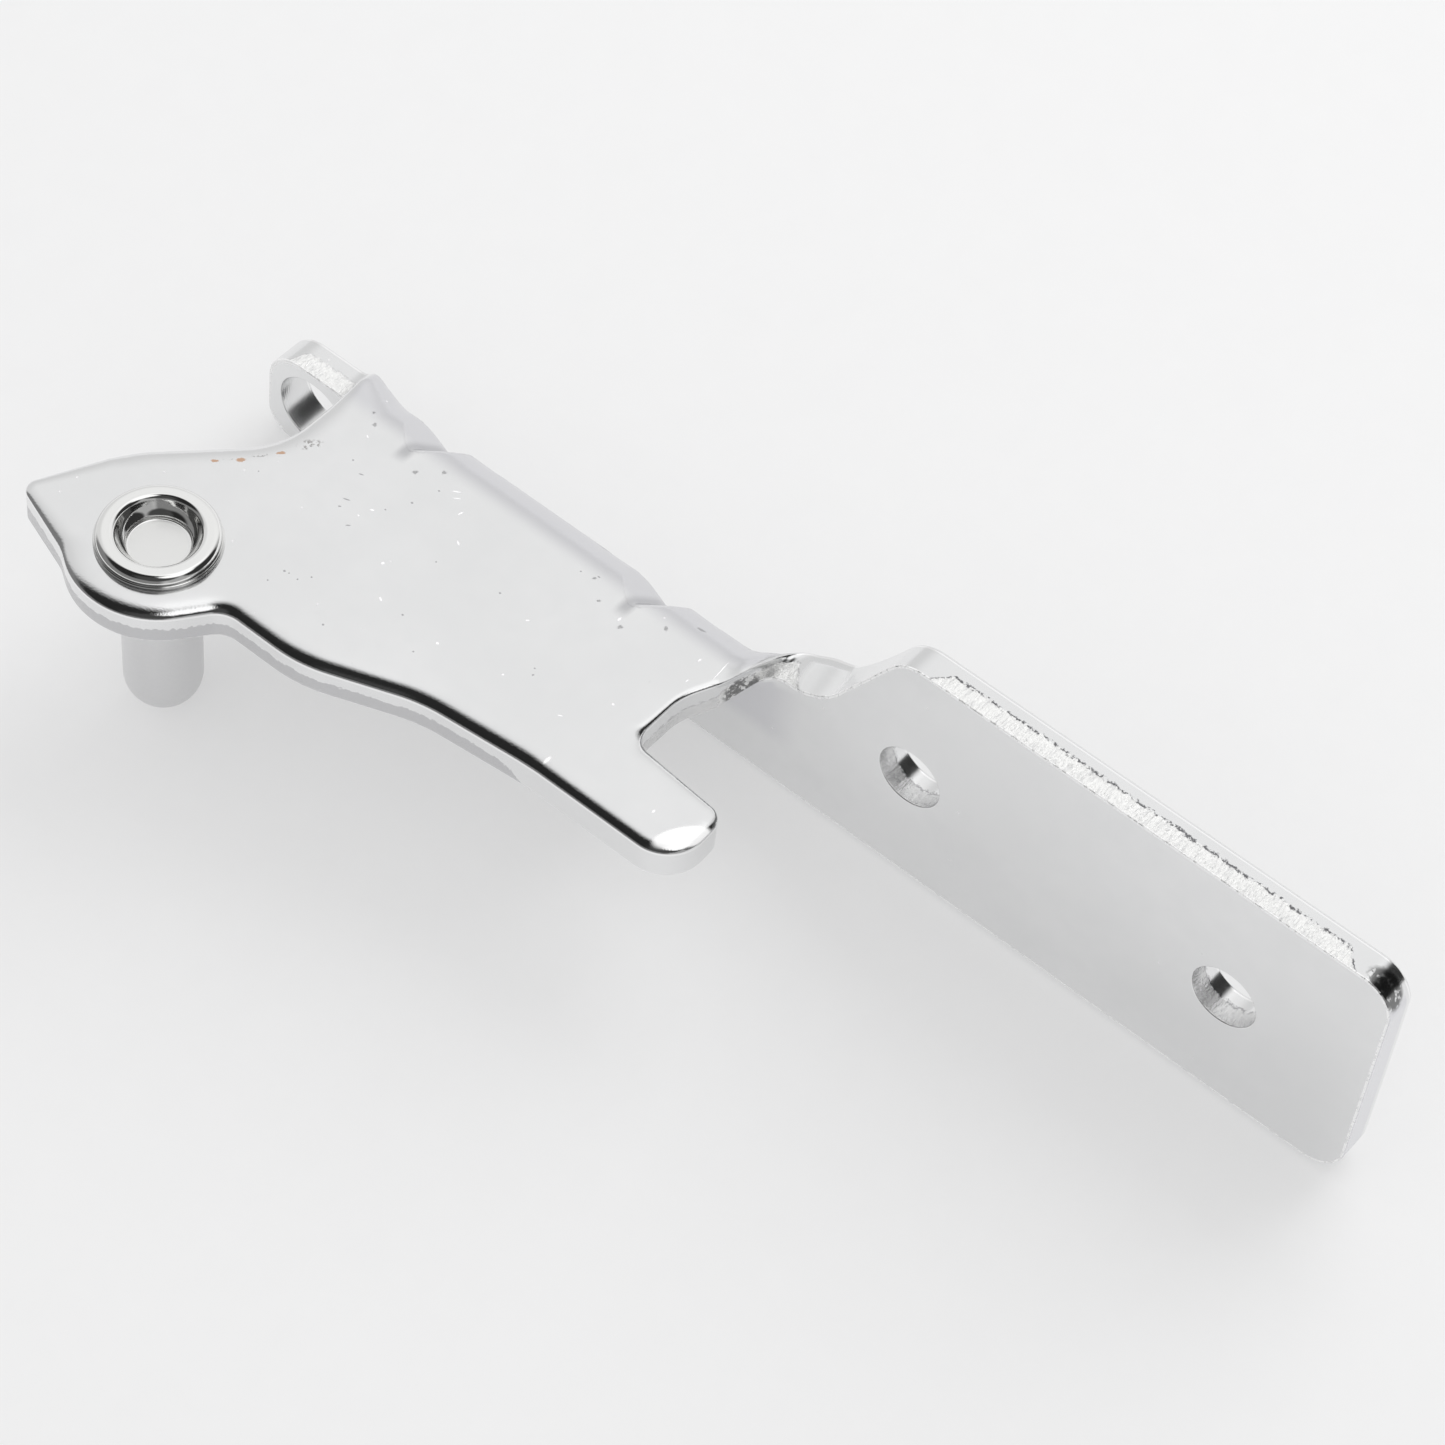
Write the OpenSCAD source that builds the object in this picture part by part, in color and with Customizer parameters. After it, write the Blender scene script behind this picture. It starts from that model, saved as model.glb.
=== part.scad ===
// Fridge door hinge: one folded steel bracket and one riveted hinge pin.
// Millimetres. The pin stands on the Z axis and its shoulder is at z = 0.
// X runs along the fold towards the bolt holes, and Y runs to the back of the flange.

/* [Sheet] */
// Thickness of the steel sheet
sheet_t = 4; // [2:0.1:6]
// Inside radius of the fold
fold_inner_r = 2.4; // [1:0.1:5]
// Front face of the flange, measured back from the pin
flange_front_y = 27.4; // [20:0.1:45]
// Width of the rounding that the press leaves on the outer edges
roll_w = 1.1; // [0.2:0.1:1.2]
// Depth of that rounding
roll_d = 0.6; // [0.1:0.05:0.9]

/* [Arm] */
// Radius of the arm's front round the pin
boss_r = 9.4; // [8:0.1:10.5]
// How far the front bulges past a circle round the pin
boss_shift = 0.4; // [0:0.05:1]
// How far the pointed nose reaches to the left of the pin
nose_x = 14.7; // [13:0.1:18]
// How far the nose lies in front of the pin
nose_y = 3.9; // [2:0.1:6]
// Rounding of the nose
nose_r = 1.5; // [1.3:0.1:3]
// Left end of the fold
fold_left_x = 0.1; // [-2:0.1:4]
// Right end of the fold
fold_right_x = 51.1; // [46:0.1:56]
// Front edge of the arm beside the pin, in front of the pin axis
arm_front_y = 1.65; // [0:0.05:4]
// Right end of the finger
finger_x = 61; // [56:0.1:64]
// Front edge of the finger, behind the pin axis
finger_front_y = 4.1; // [2:0.1:7]
// Back edge of the finger at its tip
finger_back_y = 11.9; // [10:0.1:15]
// Closed end of the slot between finger and flange
slot_x = 48.8; // [46:0.1:54]

/* [Flange] */
// Top edge of the flange above the pin's shoulder
flange_top_z = 18.5; // [12:0.1:30]
// Bottom edge of the flange below the pin's shoulder
flange_bottom_z = -10.85; // [-25:0.05:-8]
// Right end of the flange
flange_right_x = 122.4; // [112:0.1:150]
// Rounding of the flange's right corners
flange_corner_r = 3.7; // [1.5:0.1:6]
// Where the raised top edge begins
neck_top_x = 67.5; // [64:0.1:72]
// Middle of the two bolt holes along the fold
bolt_mid_x = 88.5; // [86:0.1:95]
// Distance between the two bolt holes
bolt_pitch = 36.5; // [20:0.1:40]
// Diameter of the bolt holes
bolt_hole_d = 7; // [4:0.1:9]
// Height of the bolt holes above the pin's shoulder
bolt_z = 3.2; // [0:0.1:6]

/* [Ear] */
// How far the ear reaches to the left of the pin
ear_x = 11.5; // [10.6:0.1:16]
// Top edge of the ear above the pin's shoulder
ear_top_z = 0.95; // [-1:0.05:1.5]
// Rounding of the ear's corners
ear_r = 4; // [1.3:0.1:4.2]
// Middle of the ear's bore to the left of the pin
ear_bore_x = 5.4; // [4.8:0.1:6.4]
// Middle of the ear's bore below the pin's shoulder
ear_bore_z = 4.8; // [4:0.1:6]
// Diameter of the ear's bore
ear_bore_d = 8.6; // [4:0.1:9]

/* [Dimples] */
// Place of the first dimple along the fold
dimple_x1 = 9.7; // [7:0.1:18]
// Place of the second dimple along the fold
dimple_x2 = 38; // [30:0.1:45]
// Depth of each dimple at the middle of the fold
dimple_depth = 1.9; // [0.5:0.05:2]
// Half of a dimple's width at the middle of the fold
dimple_half_w = 3.4; // [2:0.1:5]

/* [Hinge pin] */
// Diameter of the hinge pin
pin_d = 8; // [5:0.1:10]
// Length of the pin below its shoulder, round end included
pin_len = 19.8; // [10:0.1:40]
// How much thinner the pin is inside the arm
pin_step = 0.4; // [0.2:0.1:1.5]
// Gap between the pin and its hole in the arm
pin_gap = 0.05; // [0.02:0.01:0.2]
// Radius of the flared head
head_r = 6.3; // [5.5:0.1:8]
// Height of the flared head above the arm
head_h = 1.45; // [1:0.05:2.5]
// Radius of the hollow at the head's rim
well_rim_r = 4.2; // [3.2:0.1:4.6]
// Radius of the hollow's flat floor
well_floor_r = 3.1; // [2:0.05:3.2]
// Depth of the hollow below the arm's top face
well_depth = 0.6; // [0.2:0.1:3]

/* [Hidden] */

// Small amount by which joined solids overlap
lap = 0.2;
// Longest step of an outline round a corner, in degrees
step_deg = 12;
fold_outer_r = fold_inner_r + sheet_t;
flange_back_y = flange_front_y + sheet_t;
fold_y = flange_back_y - fold_outer_r;
fold_z = sheet_t - fold_outer_r;
arm_hole_r = pin_d / 2 - pin_step / 2;
tenon_r = arm_hole_r - pin_gap;
bore_facets = 72;
fold_facets = 96;

// Arm front edge: how far it falls and rises between the pin and the finger
arm_rise_x = 19.5;
arm_shelf_x = 31;
arm_shelf_y = finger_front_y - 1.25;
arm_flat_x = 43;
boss_slope_l = 29.4;
boss_slope_r = 50.3;
waist_x = -6.6;
waist_y = -6.7;

steel = [0.80, 0.80, 0.81];
pin_steel = [0.76, 0.76, 0.77];

function unit(v) = v / norm(v);
function turn(a, b) = atan2(a[0] * b[1] - a[1] * b[0], a * b);
function heading(v) = atan2(v[1], v[0]);

// One rounded corner as a list of [x, y, normal x, normal y], on a path that runs anticlockwise.
function corner(a, c, b) =
    let (u = unit([c[0] - a[0], c[1] - a[1]]))
    let (w = unit([b[0] - c[0], b[1] - c[1]]))
    let (t = turn(u, w))
    let (s = t < 0 ? -1 : 1)
    let (cut = c[2] * tan(abs(t) / 2))
    let (start = [c[0], c[1]] - u * cut)
    let (middle = start + s * c[2] * [-u[1], u[0]])
    let (n = max(1, ceil(abs(t) / step_deg)))
    [for (i = [0 : n])
        let (h = heading(u) + t * i / n - 90)
        [middle[0] + s * c[2] * cos(h), middle[1] + s * c[2] * sin(h), cos(h), sin(h)]];

// An outline from corners [x, y, radius]. It starts and ends at two plain points, where the fold
// goes on with the same section, so these are rounded only sideways, by the normals given.
function outline(first, pts, last, n0, n1) =
    let (all = concat([first], pts, [last]))
    concat(
        [[first[0], first[1], n0[0], n0[1]]],
        [for (i = [1 : len(pts)]) each corner(all[i - 1], all[i], all[i + 1])],
        [[last[0], last[1], n1[0], n1[1]]]
    );

// Triangles that fill an outline, found by cutting off one free corner after another.
function side(a, b, p) = (b[0] - a[0]) * (p[1] - a[1]) - (b[1] - a[1]) * (p[0] - a[0]);
function covers(a, b, c, p) = side(a, b, p) > -1e-9 && side(b, c, p) > -1e-9 && side(c, a, p) > -1e-9;
function is_free(pts, idx, k) =
    let (m = len(idx))
    let (h = (k + m - 1) % m)
    let (j = (k + 1) % m)
    let (a = pts[idx[h]])
    let (b = pts[idx[k]])
    let (c = pts[idx[j]])
    side(a, b, c) > 1e-9
        && len([for (i = [0 : m - 1])
            if (i != h && i != k && i != j && covers(a, b, c, pts[idx[i]])) 1]) == 0;
function free_corner(pts, idx, k = 0) =
    k >= len(idx) - 1 || is_free(pts, idx, k) ? k : free_corner(pts, idx, k + 1);
function fill(pts, idx, done = []) =
    let (m = len(idx))
    m <= 3 ? concat(done, [idx]) :
    let (k = free_corner(pts, idx))
    fill(
        pts,
        [for (i = [0 : m - 1]) if (i != k) idx[i]],
        concat(done, [[idx[(k + m - 1) % m], idx[k], idx[(k + 1) % m]]])
    );

// Rings of a pressed plate from its burr side (z = 0) to its rolled side (z = t).
function ring(path, inset, z) = [for (p = path) [p[0] - p[2] * inset, p[1] - p[3] * inset, z]];

module pressed_plate(path, t, w, d) {
    n = len(path);
    levels = [
        [0, 0],
        [0, t - d],
        [w * 0.3, t - d * 0.25],
        [w, t]
    ];
    rows = len(levels);
    points = [for (l = levels) each ring(path, l[0], l[1])];
    all = [for (i = [0 : n - 1]) i];
    bottom = fill(ring(path, 0, 0), all);
    top = [for (f = fill(ring(path, w, t), all)) [for (v = [2, 1, 0]) f[v] + (rows - 1) * n]];
    sides = [for (r = [0 : rows - 2])
        for (i = [0 : n - 1])
            let (j = (i + 1) % n)
            [r * n + i, (r + 1) * n + i, (r + 1) * n + j, r * n + j]];
    polyhedron(points = points, faces = concat(bottom, top, sides));
}

// Corners of the arm, anticlockwise from above. It is drawn past the fold and cut there.
boss_reach = boss_r / cos((boss_slope_r + boss_slope_l) / 2) + boss_shift;
boss_lead = (boss_slope_r - boss_slope_l) / 2;
arm_pts = [
    [fold_left_x, fold_y - 7.9, 9],
    [-10, 6.5, 14],
    [-nose_x, -nose_y, nose_r],
    [waist_x, waist_y, 5],
    [boss_reach * sin(boss_lead), -boss_reach * cos(boss_lead), boss_r],
    [10.2, -arm_front_y, 3],
    [arm_rise_x, -arm_front_y, 16],
    [arm_shelf_x, arm_shelf_y, 18],
    [arm_flat_x, finger_front_y, 30],
    [finger_x, finger_front_y, 4.3],
    [finger_x - 0.3, finger_back_y, 2.2],
    [slot_x, finger_back_y + 1.2, 1.7],
    [slot_x, fold_y - 5.3, 7],
    [fold_right_x, fold_y - 1.2, 4]
];

module arm() {
    path = outline([fold_left_x, fold_y], arm_pts, [fold_right_x, fold_y], [-1, 0], [1, 0]);
    pressed_plate(path, sheet_t, roll_w, roll_d);
}

// Quarter turn of sheet between the arm and the flange, with rolled ends.
module fold_strip() {
    x0 = fold_left_x;
    x1 = fold_right_x;
    r0 = fold_inner_r;
    r1 = fold_outer_r;
    profile = [
        [x0, r0],
        [x1, r0],
        [x1, r1 - roll_d],
        [x1 - roll_w * 0.3, r1 - roll_d * 0.25],
        [x1 - roll_w, r1],
        [x0 + roll_w, r1],
        [x0 + roll_w * 0.3, r1 - roll_d * 0.25],
        [x0, r1 - roll_d]
    ];
    translate([0, fold_y, fold_z])
        rotate([90, 0, 90])
            rotate_extrude(angle = 90, $fn = fold_facets)
                polygon([for (p = profile) [p[1], p[0]]]);
}

// Corners of the flange as [x, z, radius], seen from the front, from the ear round to the neck.
flange_pts = [
    [fold_left_x + 1.9, ear_top_z, 1.3],
    [-ear_x + 0.4, ear_top_z, ear_r],
    [-ear_x, flange_bottom_z, ear_r],
    [flange_right_x, flange_bottom_z, flange_corner_r],
    [flange_right_x, flange_top_z, flange_corner_r],
    [neck_top_x, flange_top_z, 4],
    [fold_right_x + 8.7, 5.9, 7],
    [fold_right_x + 1.4, 3.8, 3]
];

module flange() {
    path = outline(
        [fold_left_x + 1.9, fold_z],
        flange_pts,
        [fold_right_x - 2.2, fold_z],
        [1, 0],
        [0, 0]
    );
    translate([0, flange_front_y, 0])
        mirror([0, 1, 0])
            rotate([90, 0, 0])
                pressed_plate(path, sheet_t, roll_w, roll_d);
}

// V shaped dimple across the fold: a groove outside and a ridge inside.
dimple_out = fold_outer_r - dimple_depth;
dimple_in = fold_inner_r - dimple_depth;
dimple_reach = 2 * fold_outer_r;

module dimple_groove() {
    rise = 4;
    spread = dimple_half_w * rise / dimple_depth;
    translate([0, fold_y, fold_z])
        rotate([-45, 0, 0])
            translate([0, 0, dimple_out])
                rotate([90, 0, 0])
                    linear_extrude(height = 2 * dimple_reach, center = true)
                        polygon([
                            [0, 0],
                            [spread, rise],
                            [-spread, rise]
                        ]);
}

module dimple_ridge() {
    rise = dimple_depth + 1.5;
    spread = dimple_half_w * rise / dimple_depth;
    intersection() {
        translate([0, fold_y, fold_z])
            rotate([-45, 0, 0])
                translate([0, 0, dimple_in])
                    rotate([90, 0, 0])
                        linear_extrude(height = dimple_reach, center = true)
                            polygon([
                                [0, 0],
                                [spread, rise],
                                [-spread, rise]
                            ]);
        translate([-dimple_reach, fold_y - dimple_reach, fold_z - dimple_reach])
            cube([
                2 * dimple_reach,
                dimple_reach + fold_inner_r + lap,
                dimple_reach + fold_inner_r + lap
            ]);
    }
}

module bracket() {
    color(steel)
    difference() {
        union() {
            arm();
            fold_strip();
            flange();
            for (x = [dimple_x1, dimple_x2])
                translate([x, 0, 0])
                    dimple_ridge();
        }
        for (x = [dimple_x1, dimple_x2])
            translate([x, 0, 0])
                dimple_groove();
        translate([0, 0, -1])
            cylinder(r = arm_hole_r, h = sheet_t + 2, $fn = bore_facets);
        for (s = [-0.5, 0.5])
            translate([bolt_mid_x + s * bolt_pitch, flange_front_y - 1, bolt_z])
                rotate([-90, 0, 0])
                    cylinder(d = bolt_hole_d, h = sheet_t + 2, $fn = bore_facets);
        translate([-ear_bore_x, flange_front_y - 1, -ear_bore_z])
            rotate([-90, 0, 0])
                cylinder(d = ear_bore_d, h = sheet_t + 2, $fn = bore_facets);
    }
}

// Half outline of the riveted head and the tenon, as [radius, height].
module head_profile() {
    top = sheet_t + head_h;
    side_r = 0.95;
    lip_r = 0.35;
    crown_in = well_rim_r + lip_r;
    crown_out = head_r - 1.2;
    floor_z = sheet_t - well_depth;
    polygon(concat(
        [[0, -lap], [tenon_r, -lap], [tenon_r, sheet_t], [head_r - 0.25, sheet_t]],
        [for (a = [-40 : 13 : 90])
            [head_r - side_r * 1.26 + side_r * 1.26 * cos(a), top - side_r + side_r * sin(a)]],
        [for (a = [90 : 15 : 165]) [crown_in + lip_r * cos(a), top - lip_r + lip_r * sin(a)]],
        [[well_floor_r + 0.35, floor_z + 0.9], [well_floor_r, floor_z], [0, floor_z]]
    ));
}

module hinge_pin() {
    color(pin_steel)
    union() {
        rotate_extrude($fn = bore_facets)
            head_profile();
        translate([0, 0, -(pin_len - pin_d / 2)])
            cylinder(d = pin_d, h = pin_len - pin_d / 2, $fn = bore_facets);
        translate([0, 0, -(pin_len - pin_d / 2)])
            intersection() {
                sphere(d = pin_d, $fn = bore_facets);
                translate([-pin_d, -pin_d, -pin_d])
                    cube([2 * pin_d, 2 * pin_d, pin_d]);
            }
    }
}

bracket();
hinge_pin();
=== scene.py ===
import bpy
import math
import numpy as np
from mathutils import Matrix, Vector
from mathutils.geometry import delaunay_2d_cdt


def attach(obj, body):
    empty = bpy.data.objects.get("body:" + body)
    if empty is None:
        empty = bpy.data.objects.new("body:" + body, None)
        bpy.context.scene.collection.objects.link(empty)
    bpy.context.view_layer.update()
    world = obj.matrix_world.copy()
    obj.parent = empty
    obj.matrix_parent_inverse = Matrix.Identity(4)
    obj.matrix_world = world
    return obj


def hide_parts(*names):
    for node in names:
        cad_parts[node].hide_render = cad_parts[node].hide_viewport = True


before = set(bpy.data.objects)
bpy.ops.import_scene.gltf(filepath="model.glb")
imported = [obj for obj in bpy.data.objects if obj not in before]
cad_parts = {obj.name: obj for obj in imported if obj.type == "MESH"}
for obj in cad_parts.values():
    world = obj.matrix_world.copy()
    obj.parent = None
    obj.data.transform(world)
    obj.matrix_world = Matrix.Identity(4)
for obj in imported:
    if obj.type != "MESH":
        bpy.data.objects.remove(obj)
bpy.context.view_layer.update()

MM = 0.001

# ------------------------------------------------------------------ sizes, as in the part's source (mm)
T = 4.0                 # sheet
YF = 27.4               # flange front
YB = YF + T             # flange back
RO = 6.4                # outside radius of the fold
FOLD_Y = YB - RO
FOLD_Z = T - RO
ZQ = 32.65              # flat-sheet coordinate q = ZQ - z on the flange
LX, RX = 0.1, 51.1      # ends of the fold
FLANGE_R = 122.4
TOP_Z, BOT_Z = 18.5, -10.85
BOLTS = ((88.5 - 18.25, 3.2), (88.5 + 18.25, 3.2))
BOLT_R = 3.5
EAR = (-5.4, -4.8)
EAR_R = 4.3
PIN_HOLE_R = 3.8
DIMPLES = (9.7, 38.0)
DIMPLE_DEPTH = 2.1
DIMPLE_W = 3.4


def smooth(a, b, x):
    t = np.clip((x - a) / (b - a), 0.0, 1.0)
    return t * t * (3 - 2 * t)


def fold_radius(u):
    """Outside radius of the fold along its length: tighter where the ear and the neck leave it."""
    left = 2.9 + (RO - 2.9) * smooth(-1.0, 5.0, u)
    right = RO - (RO - 3.0) * smooth(48.5, 53.0, u)
    return np.where(u < 25.0, left, right)


def sheet_point(u, q, w):
    """Point of the folded sheet. u runs along the fold, q across the flat sheet, w = 0 outside, 1 inside."""
    u = np.asarray(u, float)
    q = np.asarray(q, float)
    r = fold_radius(u)
    ri = np.maximum(r - T, 0.35)
    # the upright plate beside the fold, and the ear: no bend there
    plate = smooth(50.0, 55.4, u) * (q > 13.6)
    ear = (1 - smooth(-2.4, 0.6, u)) * (q > 27.0)
    ya = YB - r
    qa = ya
    qb = ZQ - (T - r)
    f = np.clip((q - qa) / (qb - qa), 0.0, 1.0) * (math.pi / 2)
    # outside skin
    yo = np.where(q < qa, q, np.where(q > qb, YB, ya + r * np.sin(f)))
    zo = np.where(q < qa, T, np.where(q > qb, ZQ - q, T - r + r * np.cos(f)))
    # inside skin
    yia = YF - ri
    yi = np.where(q < qa, np.minimum(q, yia), np.where(q > qb, YF, yia + ri * np.sin(f)))
    zi = np.where(q < qa, 0.0, np.where(q > qb, np.minimum(ZQ - q, -ri), -ri + ri * np.cos(f)))
    yi = np.where(q < qa, np.where(q > yia, yia, q), yi)
    yo, zo = yo + (YB - yo) * plate, zo + (ZQ - q - zo) * plate
    yi, zi = yi + (YF - yi) * plate, zi + (ZQ - q - zi) * plate
    zo = zo + 2.0 * np.exp(-((u - 58.0) / 3.2) ** 2) * (1 - smooth(28.0, 36.0, q)) * (q > 13.6)
    zi = zi + np.where(q > qa, (np.minimum(ZQ - q, 2.0) - zi) * ear, 0.0)
    yi = yi + np.where(q > qa, (YF - yi) * ear, 0.0)
    # pressed dimples: both skins move down the 45 degree line
    for xd in DIMPLES:
        k = DIMPLE_DEPTH / DIMPLE_W
        rise = np.sqrt((u - xd) ** 2 + 0.30 ** 2) * k - 0.30 * k
        for side in (0, 1):
            y, z = (yo, zo) if side == 0 else (yi, zi)
            h = ((y - FOLD_Y) + (z - FOLD_Z)) / math.sqrt(2)
            hv = RO - DIMPLE_DEPTH + rise - (T if side else 0.0)
            s = 0.8
            d = np.where(np.abs(u - xd) < 8.0, h - hv, -9.0)
            new = h - 0.5 * (d + np.sqrt(d * d + s * s)) + 0.5 * s * np.exp(-(np.maximum(-d, 0) / s))
            new = np.where(d < -3 * s, h, np.minimum(new, h))
            move = (new - h) / math.sqrt(2)
            if side == 0:
                yo, zo = yo + move, zo + move
            else:
                yi, zi = yi + move, zi + move
    o = np.stack([u, yo, zo], -1)
    i = np.stack([u, yi, zi], -1)
    if np.isscalar(w):
        return o if w == 0 else (i if w == 1 else o + (i - o) * w)
    w = np.asarray(w, float)[..., None]
    return o + (i - o) * w


def sheet_normal(u, q, side):
    e = 0.02
    du = sheet_point(u + e, q, side) - sheet_point(u - e, q, side)
    dq = sheet_point(u, q + e, side) - sheet_point(u, q - e, side)
    n = np.cross(du, dq)
    n /= np.maximum(np.linalg.norm(n, axis=-1, keepdims=True), 1e-9)
    return n if side == 0 else -n


# ------------------------------------------------------------------ outline of the flat sheet
def corner(a, c, b, step):
    ux, uy = c[0] - a[0], c[1] - a[1]
    l = math.hypot(ux, uy); ux /= l; uy /= l
    wx, wy = b[0] - c[0], b[1] - c[1]
    l = math.hypot(wx, wy); wx /= l; wy /= l
    t = math.atan2(ux * wy - uy * wx, ux * wx + uy * wy)
    s = -1 if t < 0 else 1
    r = c[2]
    cut = r * math.tan(abs(t) / 2)
    mx, my = c[0] - ux * cut - s * r * uy, c[1] - uy * cut + s * r * ux
    n = max(2, int(math.ceil(abs(t) * r / step)), int(math.ceil(math.degrees(abs(t)) / 6)))
    h0 = math.atan2(uy, ux) - math.pi / 2
    return [(mx + s * r * math.cos(h0 + t * i / n), my + s * r * math.sin(h0 + t * i / n),
             math.cos(h0 + t * i / n), math.sin(h0 + t * i / n), s * r) for i in range(n + 1)]


CORNERS = [
    (LX, 17.1, 9), (-10.0, 6.5, 14), (-14.7, -3.9, 1.5), (-6.6, -6.7, 5), (2.29, -12.43, 9.4),
    (10.2, -1.65, 3), (19.5, -1.65, 16), (31.0, 2.85, 18), (43.0, 4.1, 30), (61.0, 4.1, 4.3),
    (60.7, 11.9, 2.2), (48.8, 13.1, 1.7), (48.8, 19.7, 7), (51.0, 24.6, 6),
    (54.6, 29.0, 4), (59.8, ZQ - 5.9, 7), (67.5, ZQ - TOP_Z, 4), (FLANGE_R, ZQ - TOP_Z, 3.7),
    (FLANGE_R, ZQ - BOT_Z, 4.0), (-11.5, ZQ - BOT_Z, 3.2), (-11.2, ZQ - 0.95, 4.2), (LX, ZQ - 0.95, 2.6),
]


def outline(step=0.7):
    m = len(CORNERS)
    arcs = [corner(CORNERS[i - 1], CORNERS[i], CORNERS[(i + 1) % m], step) for i in range(m)]
    pts = []
    for i in range(m):
        pts += arcs[i]
        a, b = arcs[i][-1], arcs[(i + 1) % m][0]
        d = math.hypot(b[0] - a[0], b[1] - a[1])
        inner = 0.9 if -3 < a[0] < 54 and 18 < max(a[1], b[1]) < 40 else 2.5
        k = int(d // inner)
        for j in range(1, k + 1):
            f = j / (k + 1)
            pts.append((a[0] + (b[0] - a[0]) * f, a[1] + (b[1] - a[1]) * f, a[2], a[3], 1e9))
    out = []
    for p in pts:
        if not out or math.hypot(p[0] - out[-1][0], p[1] - out[-1][1]) > 1e-3:
            out.append(p)
    if math.hypot(out[0][0] - out[-1][0], out[0][1] - out[-1][1]) < 1e-3:
        out.pop()
    return np.array(out)


def hole(cx, cy, r, n=72):
    a = -np.arange(n) * 2 * math.pi / n
    return np.stack([cx + r * np.cos(a), cy + r * np.sin(a), -np.cos(a), -np.sin(a), np.full(n, -r)], 1)


def inside_loop(p, loop):
    x, y = p[:, 0][:, None], p[:, 1][:, None]
    x0, y0 = loop[:, 0][None], loop[:, 1][None]
    x1, y1 = np.roll(loop[:, 0], -1)[None], np.roll(loop[:, 1], -1)[None]
    c = ((y0 > y) != (y1 > y)) & (x < (x1 - x0) * (y - y0) / np.where(y1 == y0, 1e-12, y1 - y0) + x0)
    return c.sum(1) % 2 == 1


def near(p, pts, d):
    out = np.zeros(len(p), bool)
    for s in range(0, len(p), 400):
        q = p[s:s + 400]
        out[s:s + 400] = (((q[:, None, :] - pts[None]) ** 2).sum(-1).min(1) < d * d)
    return out


loops = [outline(), hole(0, 0, PIN_HOLE_R), hole(BOLTS[0][0], ZQ - BOLTS[0][1], BOLT_R),
         hole(BOLTS[1][0], ZQ - BOLTS[1][1], BOLT_R), hole(EAR[0], ZQ - EAR[1], EAR_R)]

# width and depth of the rolled edge at each outline point
widths, depths = [], []
for k, lp in enumerate(loops):
    n = len(lp)
    if k == 0:
        q, r = lp[:, 1], lp[:, 4]
        w = np.where(q > 27.5, 0.75, 2.5)
        w = np.where((lp[:, 0] < 9) & (q < 0), 3.2, w)
        w = np.where((lp[:, 0] > 44) & (q < 12.5), 2.0, w)
        w = np.where((lp[:, 0] > 49) & (q > 22), 1.0, w)
        w = np.where((lp[:, 0] > 45) & (lp[:, 0] < 60) & (q > 15) & (q <= 24), 0.8, w)
        w = np.where(r > 0, np.minimum(w, 0.72 * r), w)
        for _ in range(3):
            w = np.minimum(w, np.minimum(np.roll(w, 1) + 0.25, np.roll(w, -1) + 0.25))
        for _ in range(8):
            w = (np.roll(w, 1) + 2 * w + np.roll(w, -1)) / 4
        w = np.where(r > 0, np.minimum(w, 0.8 * r), w)
        d = np.clip(w * 0.36, 0.12, 0.85)
    elif k == 1:
        w, d = np.full(n, 0.2), np.full(n, 0.2)
    elif k == 4:
        w, d = np.full(n, 0.25), np.full(n, 0.2)
    else:
        w, d = np.full(n, 0.5), np.full(n, 0.35)
    widths.append(w)
    depths.append(d)

verts, norms, faces, attr = [], [], [], []   # attr: (wall fraction, on the wall)


def add(p, n, wf, wall, edge=None):
    base = sum(len(v) for v in verts)
    verts.append(np.asarray(p, float)); norms.append(np.asarray(n, float))
    a = np.zeros((len(p), 6))
    a[:, 0] = wf
    a[:, 1] = wall
    if edge is not None:
        a[:, 2:] = edge
    attr.append(a)
    return base


def strip(b0, b1, n):
    for i in range(n):
        j = (i + 1) % n
        faces.append((b0 + i, b1 + i, b1 + j, b0 + j))


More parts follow.
